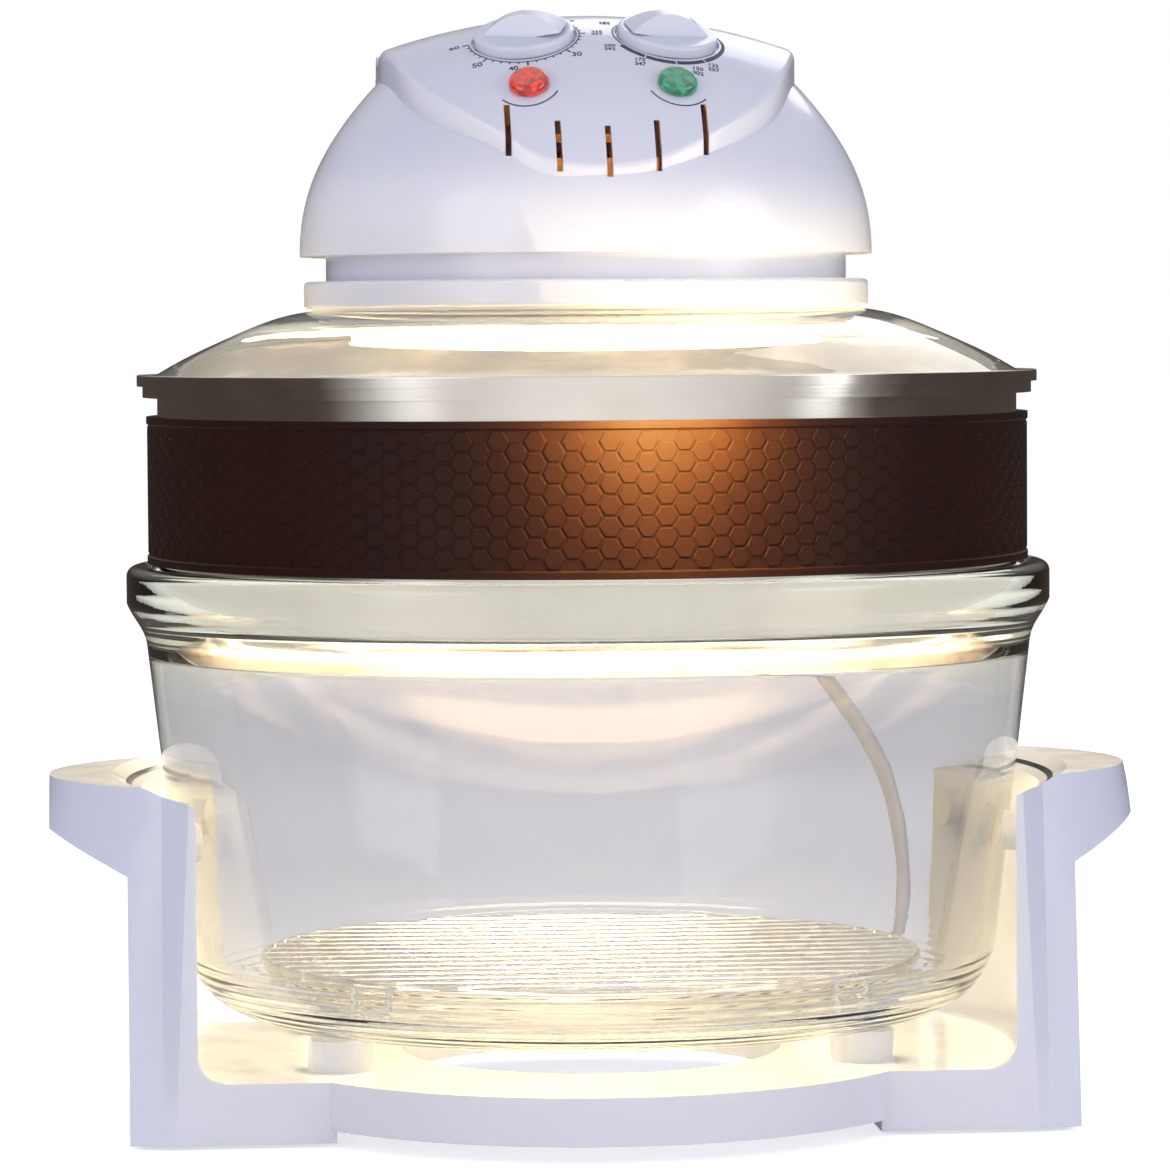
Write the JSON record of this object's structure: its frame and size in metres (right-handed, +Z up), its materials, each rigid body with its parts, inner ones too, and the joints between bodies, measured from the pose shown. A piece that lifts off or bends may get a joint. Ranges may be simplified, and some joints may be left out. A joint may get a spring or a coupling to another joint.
{
  "type": "halogen oven",
  "caption": "Countertop halogen oven: glass bowl in a two-handled stand, steel extender ring in a silicone sleeve, and a lift-off glass lid with lamp, fan and control head.",
  "frame": {"origin": "on the table, under the bowl's axis", "axes": "+Z up along the bowl's axis, the controls face -Y, +X to the right of someone facing the controls"},
  "size_m": [0.386, 0.4345, 0.3918],
  "materials": {
    "white_plastic": "glossy white injection-moulded plastic",
    "white_rubber": "soft white rubber",
    "clear_glass": "clear pressed heat-resistant glass",
    "chrome_wire": "chrome-plated wire",
    "stainless": "polished stainless sheet",
    "brown_silicone": "dark brown silicone",
    "bright_aluminium": "bright aluminium reflector",
    "quartz": "quartz tube",
    "ceramic": "white steatite ceramic",
    "mineral_board": "mineral-fibre insulation board",
    "steel": "zinc-plated and laminated steel",
    "copper_coil": "enamelled copper winding",
    "black_plastic": "black moulded plastic",
    "red_lens": "red translucent plastic",
    "green_lens": "green translucent plastic",
    "neon_glass": "small neon bulb",
    "white_cord": "white flexible cord sheath"
  },
  "bodies": {
    "stand": {"base_frame": "white_plastic", "rubber_feet": "white_rubber", "support_pads": "white_rubber", "side_bumpers": "white_rubber"},
    "bowl": {"glass_bowl": "clear_glass"},
    "rack": {"low_rack": "chrome_wire"},
    "ring": {"extender_ring": "stainless", "silicone_sleeve": "brown_silicone"},
    "head": {"glass_lid": "clear_glass", "lid_gasket": "white_rubber", "lamp_housing": "bright_aluminium", "clamp_ring": "stainless", "halogen_lamp": "quartz", "lamp_holders": "ceramic", "lamp_guard": "chrome_wire", "heat_shield": "mineral_board", "head_base": "white_plastic", "head_shell": "white_plastic", "timer_body": "steel", "thermostat_body": "steel", "power_lens": "red_lens", "heat_lens": "green_lens", "neon_lamps": "neon_glass", "handle_pins": "steel", "safety_switch": "black_plastic", "motor_bracket": "steel", "motor_stator": "steel", "motor_coil": "copper_coil", "terminal_block": "white_cord", "strain_relief": "white_cord", "power_cord": "white_cord", "cord_coil": "white_cord", "plug": "white_cord"},
    "timer": {"timer_knob": "white_plastic", "timer_shaft": "steel"},
    "thermostat": {"thermostat_knob": "white_plastic", "thermostat_shaft": "steel"},
    "handle": {"carry_handle": "white_plastic"},
    "plunger": {"switch_plunger": "white_plastic"},
    "fan": {"rotor": "steel", "convection_fan": "bright_aluminium", "cooling_fan": "black_plastic"}
  },
  "joints": [
    {"name": "bowl_lift", "type": "slide", "parent": "stand", "child": "bowl", "axis": [0, 0, 1], "range_m": [0, 0.15]},
    {"name": "rack_lift", "type": "slide", "parent": "bowl", "child": "rack", "axis": [0, 0, 1], "range_m": [0, 0.18]},
    {"name": "ring_lift", "type": "slide", "parent": "bowl", "child": "ring", "axis": [0, 0, 1], "range_m": [0, 0.1]},
    {"name": "head_lift", "type": "slide", "parent": "ring", "child": "head", "axis": [0, 0, 1], "range_m": [0, 0.2]},
    {"name": "timer_turn", "type": "hinge", "parent": "head", "child": "timer", "pos_m": [-0.025, -0.045, 0.38234], "axis": [-0.1136, -0.3837, 0.9164], "range_deg": [-161, 109]},
    {"name": "thermostat_turn", "type": "hinge", "parent": "head", "child": "thermostat", "pos_m": [0.025, -0.045, 0.38234], "axis": [0.1136, -0.3837, 0.9164], "range_deg": [-45, 224]},
    {"name": "handle_fold", "type": "hinge", "parent": "head", "child": "handle", "pos_m": [0, 0.04, 0.374], "axis": [1, 0, 0], "range_deg": [0, 118]},
    {"name": "plunger_slide", "type": "slide", "parent": "head", "child": "plunger", "axis": [0, 1, 0], "range_m": [0, 0.003]},
    {"name": "fan_spin", "type": "hinge", "parent": "head", "child": "fan", "pos_m": [0, 0, 0.3], "axis": [0, 0, 1], "continuous": true}
  ],
  "couplings": [
    {"joint": "plunger_slide", "follows": "handle_fold", "m_per_rad": 0.0014081}
  ]
}
